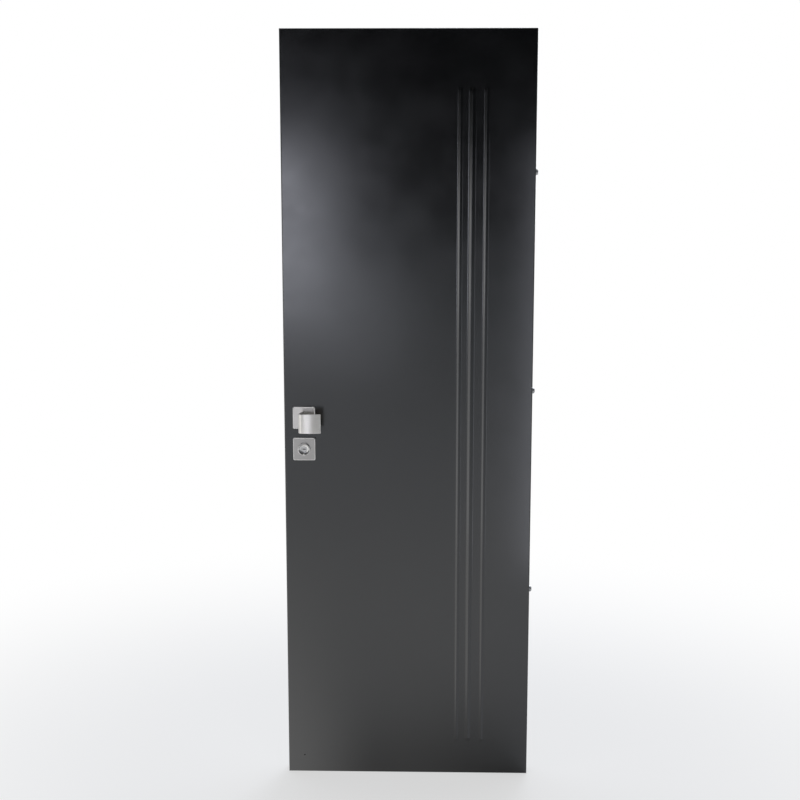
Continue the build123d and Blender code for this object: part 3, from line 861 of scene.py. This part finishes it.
def pull_shell(side):
    """The bent pull plate: leg, shoulder and front in plan, drawn up to its height and made thick."""
    fitting = bpy.context.scene.door_fitting
    base_y = ROSE_LOW.y if side == OUTER else INNER_ROSE_HIGH.y

    def plan(offset, rise):
        return Vector((ROSE_CENTRE.x + offset, base_y + side * rise))

    foot = plan(fitting.shell_foot, 0)
    leg_top = plan(fitting.shell_leg, fitting.shell_leg_rise)
    shoulder = plan(fitting.shell_shoulder, fitting.shell_shoulder_rise)
    tip = plan(fitting.shell_tip, fitting.shell_tip_rise)
    leg_way = (leg_top - foot).normalized()
    bend_centre, bend_turn = tangent_arc(leg_top, leg_way, shoulder)
    front_centre, front_turn = tangent_arc(shoulder, turned(leg_way, bend_turn), tip)
    bm = bmesh.new()
    start = bm.verts.new((foot.x, foot.y, SHELL_LOW.z))
    top = bm.verts.new((leg_top.x, leg_top.y, SHELL_LOW.z))
    bm.edges.new((start, top))
    last = top
    for centre, turn in ((bend_centre, bend_turn), (front_centre, front_turn)):
        spun = bmesh.ops.spin(bm, geom=[last], cent=(centre.x, centre.y, SHELL_LOW.z), axis=(0, 0, 1),
                              angle=turn, steps=24)
        last = next(item for item in spun["geom_last"] if isinstance(item, bmesh.types.BMVert))
    grown = bmesh.ops.extrude_edge_only(bm, edges=bm.edges)["geom"]
    raised = [item for item in grown if isinstance(item, bmesh.types.BMVert)]
    bmesh.ops.translate(bm, vec=(0, 0, SHELL_HIGH.z - SHELL_LOW.z), verts=raised)
    bm.normal_update()
    front_face = max(bm.faces, key=lambda face: side * face.calc_center_median().y)
    if front_face.normal.y * side < 0:
        bmesh.ops.reverse_faces(bm, faces=bm.faces)
    word = SIDE_WORD[side]
    replaced = [f"{word}_pull_shell"]
    piece = new_piece(f"{word}_bent_pull", "leaf", bm, "satin_shell", replaced)
    wall = piece.modifiers.new("Plate", "SOLIDIFY")
    wall.thickness = fitting.shell_sheet
    wall.offset = -1
    rounding = piece.modifiers.new("Rounding", "BEVEL")
    rounding.width = fitting.shell_edge
    rounding.segments = 4
    rounding.limit_method = "ANGLE"
    rounding.angle_limit = math.radians(50)
    rounding.harden_normals = True


def dished_collar(side):
    """The ring round the cylinder's end: a rounded rim, a bowl and a short mouth, turned in one piece."""
    fitting = bpy.context.scene.door_fitting
    word = SIDE_WORD[side]
    low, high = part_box(f"{word}_cylinder_collar")
    radius = (high.x - low.x) / 2
    proud = high.y - low.y
    edge = fitting.collar_edge
    dish = fitting.collar_dish
    mouth = fitting.collar_mouth
    bowl_floor = proud - fitting.collar_deep
    lip = bowl_floor - COLLAR_LIP
    bowl_top = (dish, proud - COLLAR_BROW)
    points = [(COLLAR_BORE, 0), (radius, 0), (radius, proud - edge)]
    points += arc_points(points[-1], (0, 1), (radius - edge, proud), 6)
    points += arc_points((dish + COLLAR_BROW, proud), (-1, 0), bowl_top, 4)
    floor_way = (math.cos(fitting.collar_flat), math.sin(fitting.collar_flat))
    bowl = arc_points((mouth, bowl_floor), floor_way, bowl_top, 10)
    points += bowl[-2::-1] + [(mouth, bowl_floor), (mouth, lip), (COLLAR_BORE, lip), points[0]]
    bm = lathe(points, (COLLAR_CENTRE.x, FACE_OF[side], COLLAR_CENTRE.z), (0, side, 0), fitting.segments)
    sharpen(bm, COLLAR_CREASE)
    replaced = [f"{word}_cylinder_collar"]
    new_piece(f"{word}_dished_collar", "leaf", bm, "turned_nickel", replaced)


class DOOR_OT_skins(bpy.types.Operator):
    """Build the two pressed skins of the leaf"""

    bl_idname = "door.skins"
    bl_label = "Pressed Skins"

    def execute(self, context):
        for side in (OUTER, INNER):
            pressed_skin(side)
        return {"FINISHED"}


class DOOR_OT_channels(bpy.types.Operator):
    """Paint the channels that show in the edges of the leaf"""

    bl_idname = "door.channels"
    bl_label = "Edge Channels"

    def execute(self, context):
        for name in ("lock_stile", "hinge_stile", "top_rail", "bottom_rail"):
            dress(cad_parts[name], "dark_channel_coat")
        return {"FINISHED"}


class DOOR_OT_pulls(bpy.types.Operator):
    """Build the square roses and the bent pulls"""

    bl_idname = "door.pulls"
    bl_label = "Pulls"

    def execute(self, context):
        fitting = context.scene.door_fitting
        for side in (OUTER, INNER):
            word = SIDE_WORD[side]
            low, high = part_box(f"{word}_rose")
            bm = slab(low, high, fitting.rose_corner, 1, side, fitting.rose_edge)
            replaced = [f"{word}_rose"]
            plate_piece(f"{word}_square_rose", "leaf", bm, "satin_plate", replaced)
            pull_shell(side)
        return {"FINISHED"}


class DOOR_OT_lock(bpy.types.Operator):
    """Build the escutcheons and collars, and dress the lock cylinder and key plug"""

    bl_idname = "door.lock"
    bl_label = "Lock Cylinder"

    def execute(self, context):
        fitting = context.scene.door_fitting
        for side in (OUTER, INNER):
            word = SIDE_WORD[side]
            low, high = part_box(f"{word}_escutcheon")
            bm = slab(low, high, fitting.rose_corner, 1, side, fitting.rose_edge)
            pierce(bm, 1, [COLLAR_CENTRE], GUARD_HOLE, fitting.segments)
            replaced = [f"{word}_escutcheon"]
            plate_piece(f"{word}_guard_plate", "leaf", bm, "satin_guard", replaced)
            dished_collar(side)
        for name in ("lock_cylinder", "key_plug"):
            dress(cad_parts[name], "turned_plug")
        return {"FINISHED"}


class DOOR_OT_lock_edge(bpy.types.Operator):
    """Finish the faceplate and the bolts in the lock edge"""

    bl_idname = "door.lock_edge"
    bl_label = "Lock Edge"

    def execute(self, context):
        fitting = context.scene.door_fitting
        for name in ("lock_faceplate", "dead_bolts"):
            dress(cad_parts[name], "zinc_steel")
        low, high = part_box("lock_faceplate")
        middle = (low.y + high.y) / 2
        heights = (low.z + fitting.faceplate_screw, high.z - fitting.faceplate_screw)
        places = [Vector((low.x, middle, height)) for height in heights]
        smaller = 0.8
        head = fitting.screw_head * smaller
        head_tall = 0.45 * MM
        shank = SCREW_HOLE * smaller
        shank_long = 2 * MM
        bm = socket_screws(places, (-1, 0, 0), head, head_tall, shank, shank_long)
        new_piece("faceplate_screws", "leaf", bm, "zinc_steel")
        return {"FINISHED"}


class DOOR_OT_dog_pins(bpy.types.Operator):
    """Turn the round-nosed pins of the hinge edge"""

    bl_idname = "door.dog_pins"
    bl_label = "Dog Pins"

    def execute(self, context):
        fitting = context.scene.door_fitting
        for name in ("upper_dog_pin", "middle_dog_pin", "lower_dog_pin"):
            low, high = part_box(name)
            radius = (high.z - low.z) / 2
            seat = HINGE_EDGE - context.scene.door_leaf.sheet
            nose = high.x - seat
            cheek = (radius, nose - fitting.nose_long)
            tail = low.x - seat
            points = [(0, tail), (SHANK_RADIUS, tail), (SHANK_RADIUS, 0), (radius, 0), cheek]
            points += [*arc_points(cheek, (0, 1), (fitting.nose_flat, nose), 8), (0, nose)]
            centre = (seat, (low.y + high.y) / 2, (low.z + high.z) / 2)
            bm = lathe(points, centre, (1, 0, 0), fitting.segments)
            sharpen(bm, PIN_CREASE)
            new_piece(f"{name}_turned", "leaf", bm, "pin_steel", [name])
        return {"FINISHED"}


class DOOR_OT_hinges(bpy.types.Operator):
    """Build the lift-off hinges and their screws"""

    bl_idname = "door.hinges"
    bl_label = "Hinges"

    def execute(self, context):
        for place in ("top", "middle", "bottom"):
            hinge_leaf_half(place)
            hinge_frame_half(place)
        return {"FINISHED"}


def floor_material(colour):
    """White floor that takes the leaf's shadow, and that glows in reflections with painted light: a sweep
    brighter on the left, with painted shade near the foot of the leaf.
    """
    bench = NodeBench(bpy.data.materials.new("studio_floor"))
    bench.tree.nodes.remove(bench.shader)
    diffuse = bench.add("ShaderNodeBsdfDiffuse")
    diffuse.inputs["Color"].default_value = (*colour, 1)
    glow = bench.add("ShaderNodeEmission")
    glow.inputs["Strength"].default_value = 1
    path = bench.add("ShaderNodeLightPath")
    place = bench.coords.outputs["Object"]
    distance = bench.length(place)
    parts = bench.split(place)

    # How bright the reflected floor is along the depth, as painted light: painted shade close to the foot
    # of the leaf, and darker further from it
    away = bench.math("ABSOLUTE", parts["Y"])
    near = bench.eased(away, 0.05, 0.8, 0.34, 0.47)
    middle = bench.eased(away, 1.5, 4.0, 0.0, 0.185)
    far = bench.eased(away, 2.5, 11.0, 0.0, 0.25)
    depth = bench.math("SUBTRACT", bench.math("SUBTRACT", near, middle), far)

    # Painted light lighter towards the left and painted shade towards the right, by the slant of the way
    # from the leaf
    reach = bench.math("SQRT", bench.math("ADD", bench.math("POWER", away, 2), 0.36))
    slant = bench.math("DIVIDE", parts["X"], reach)
    close = bench.eased(distance, 1.2, 4.0, 1.0, 0.0)
    near_left = bench.math("MULTIPLY", bench.eased(slant, -0.6, -0.12, 1.0, 0.0), close)
    left = bench.math("MAXIMUM", near_left, bench.eased(slant, -6.0, -2.5, 0.6, 0.0))
    beside = bench.eased(slant, -0.1, 0.6, 0.0, 0.2)
    right = bench.math("SUBTRACT", beside, bench.eased(slant, 1.3, 3.0, 0.0, 0.7))
    lift = bench.math("MULTIPLY", bench.math("SUBTRACT", 1, depth), left)
    painted_reflected_light = bench.math("SUBTRACT", bench.math("ADD", depth, lift), right)

    # White to the camera, with the shadow round the foot of the leaf
    white = bench.eased(distance, 0.6, 2.4, 0.62, 1.0)
    seen = bench.math("MULTIPLY", path.outputs["Is Camera Ray"], white)
    # Only reflections see the floor's painted light and shade
    glossy = bench.math("MULTIPLY", path.outputs["Is Glossy Ray"], painted_reflected_light)
    bench.surface(bench.math("MAXIMUM", seen, glossy), diffuse, glow)
    return bench.owner


def studio_world():
    """White behind the leaf and to the camera, dim in front of it."""
    world = bpy.data.worlds.new("studio")
    bpy.context.scene.world = world
    bench = NodeBench(world)
    studio = bench.tree.nodes["Background"]
    studio.inputs["Color"].default_value = (0.88, 0.94, 1, 1)
    behind = bench.split(bench.coords.outputs["Generated"])["Y"]
    bench.link(bench.eased(behind, -0.15, 0.6, 0.013, 1.0), studio.inputs["Strength"])
    white = bench.add("ShaderNodeBackground")
    white.inputs["Color"].default_value = (1, 1, 1, 1)
    white.inputs["Strength"].default_value = 1
    path = bench.add("ShaderNodeLightPath")
    bench.surface(path.outputs["Is Camera Ray"], studio, white)


def soft_lamp(name, aim, place, size, power, colour):
    """A soft box that stands at a place from the foot of the leaf and points at an aim."""
    data = bpy.data.lights.new(name, "AREA")
    data.shape = "RECTANGLE"
    data.size, data.size_y = size
    data.energy = power
    data.color = colour
    lamp = bpy.data.objects.new(name, data)
    lamp.visible_camera = False
    lamp.location = Vector((LEAF_CENTRE.x, OUTER_FACE, LEAF_BOTTOM)) + Vector(place)
    lamp.rotation_euler = (aim - lamp.location).to_track_quat("-Z", "Y").to_euler()
    bpy.context.scene.collection.objects.link(lamp)


class DOOR_OT_stage(bpy.types.Operator):
    """Set the floor, the soft light and the camera"""

    bl_idname = "door.stage"
    bl_label = "Studio Stage"

    def execute(self, context):
        stage = context.scene.door_stage
        bm = bmesh.new()
        bmesh.ops.create_grid(bm, x_segments=1, y_segments=1, size=FLOOR_HALF)
        mesh = bpy.data.meshes.new("studio_floor")
        bm.to_mesh(mesh)
        bm.free()
        floor = bpy.data.objects.new("studio_floor", mesh)
        floor.location = (LEAF_CENTRE.x, LEAF_CENTRE.y, LEAF_BOTTOM - FLOOR_GAP)
        context.scene.collection.objects.link(floor)
        floor.data.materials.append(floor_material(stage.floor))
        studio_world()
        aim = Vector((LEAF_CENTRE.x, OUTER_FACE, LEAF_CENTRE.z))
        for name, lamp in FRONT_LAMPS.items():
            soft_lamp(name, aim, *lamp)
        soft_lamp("back_fill", LEAF_CENTRE, *BACK_LAMP)
        data = bpy.data.cameras.new("photo_camera")
        data.lens = stage.lens
        data.sensor_width = SENSOR_WIDTH
        camera = bpy.data.objects.new("photo_camera", data)
        camera.location = (LEAF_CENTRE.x + stage.camera_offset, OUTER_FACE - stage.camera_distance,
                           LEAF_BOTTOM + stage.camera_height)
        camera.rotation_euler = (math.pi / 2 - stage.camera_pitch, 0, stage.camera_yaw)
        context.scene.collection.objects.link(camera)
        context.scene.camera = camera
        context.scene.view_settings.view_transform = "Standard"
        return {"FINISHED"}


class DOOR_PT_panel(bpy.types.Panel):
    """Sizes and steps of the door"""

    bl_idname = "DOOR_PT_panel"
    bl_label = "Steel Security Door"
    bl_space_type = "VIEW_3D"
    bl_region_type = "UI"
    bl_category = "Door"

    def draw(self, context):
        for group in (context.scene.door_leaf, context.scene.door_fitting, context.scene.door_stage):
            box = self.layout.box()
            for name in group.__annotations__:
                box.prop(group, name)
        for step in STEPS:
            self.layout.operator(step.bl_idname)


GROUPS = (DoorLeafSettings, DoorFittingSettings, DoorStageSettings)
STEPS = (
    DOOR_OT_skins, DOOR_OT_channels, DOOR_OT_pulls, DOOR_OT_lock, DOOR_OT_lock_edge, DOOR_OT_dog_pins,
    DOOR_OT_hinges, DOOR_OT_stage,
)
CLASSES = (*GROUPS, *STEPS, DOOR_PT_panel)


def register():
    """Register the classes and hang the settings on the scene."""
    for item in CLASSES:
        bpy.utils.register_class(item)
    bpy.types.Scene.door_leaf = PointerProperty(type=DoorLeafSettings)
    bpy.types.Scene.door_fitting = PointerProperty(type=DoorFittingSettings)
    bpy.types.Scene.door_stage = PointerProperty(type=DoorStageSettings)


def unregister():
    """Take the settings and the classes away again."""
    del bpy.types.Scene.door_stage
    del bpy.types.Scene.door_fitting
    del bpy.types.Scene.door_leaf
    for item in reversed(CLASSES):
        bpy.utils.unregister_class(item)


def main():
    """Build the door and its stage."""
    register()
    bpy.ops.door.skins()
    bpy.ops.door.channels()
    bpy.ops.door.pulls()
    bpy.ops.door.lock()
    bpy.ops.door.lock_edge()
    bpy.ops.door.dog_pins()
    bpy.ops.door.hinges()
    bpy.ops.door.stage()


if __name__ == "__main__":
    main()
